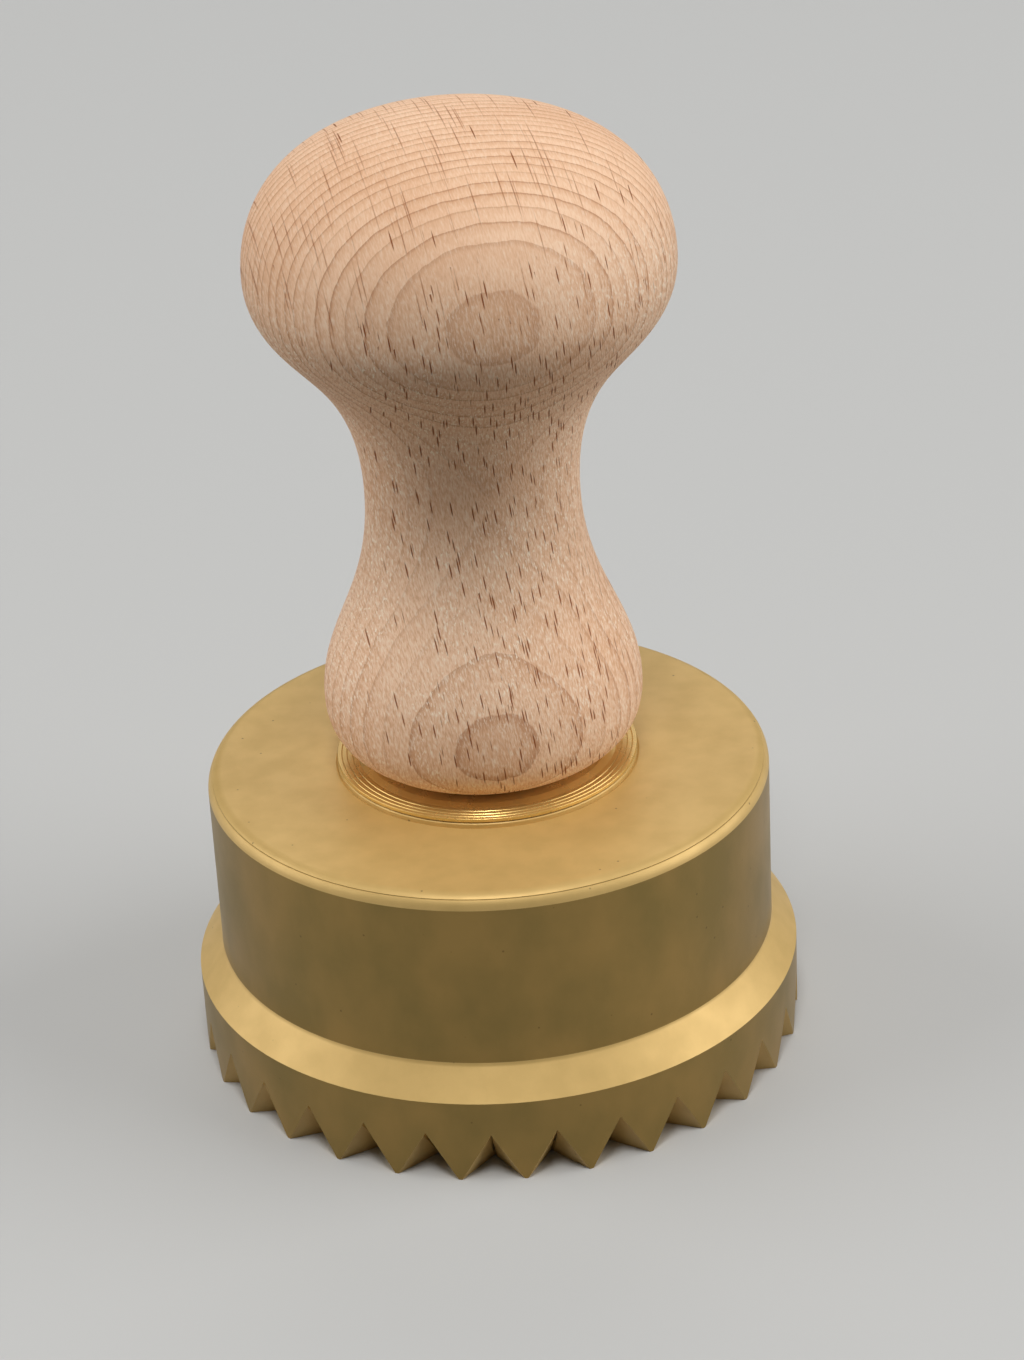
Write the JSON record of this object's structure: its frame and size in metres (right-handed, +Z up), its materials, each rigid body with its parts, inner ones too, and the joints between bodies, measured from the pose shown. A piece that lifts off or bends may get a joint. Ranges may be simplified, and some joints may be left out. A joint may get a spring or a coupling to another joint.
{
  "type": "ravioli stamp",
  "caption": "Round brass ravioli stamp with a toothed, bevelled rim, a turned beech knob on a low collar and a sprung, dished ejector plate inside the cup.",
  "frame": {"origin": "on the stamp's axis, in the plane of the tooth tips that it stands on", "axes": "+Z up along the turning axis, from the teeth to the knob; -Y is the side that the picture faces, with a notch between two teeth there"},
  "size_m": [0.06, 0.06, 0.095],
  "materials": {
    "die_brass": "turned, satin, slightly dulled",
    "fitting_brass": "turned, bright",
    "beech": "turned and sanded, unvarnished",
    "steel": "drawn stainless"
  },
  "bodies": {
    "stamp": {"die_body": "die_brass", "guide_bush": "fitting_brass", "bush_washer": "steel", "ring_nut": "fitting_brass", "handle_insert": "fitting_brass", "handle": "beech", "ejector_spring": "steel"},
    "ejector": {"ejector_plate": "die_brass", "ejector_stem": "steel", "ejector_screw": "steel", "stop_washer": "steel", "stop_nut": "steel"}
  },
  "joints": [
    {"name": "ejector_slide", "type": "slide", "parent": "stamp", "child": "ejector", "axis": [0, 0, 1], "range_m": [0, 0.008], "stiffness_N_per_m": 1000, "springref_m": -0.004, "deforming": ["ejector_spring"]}
  ]
}
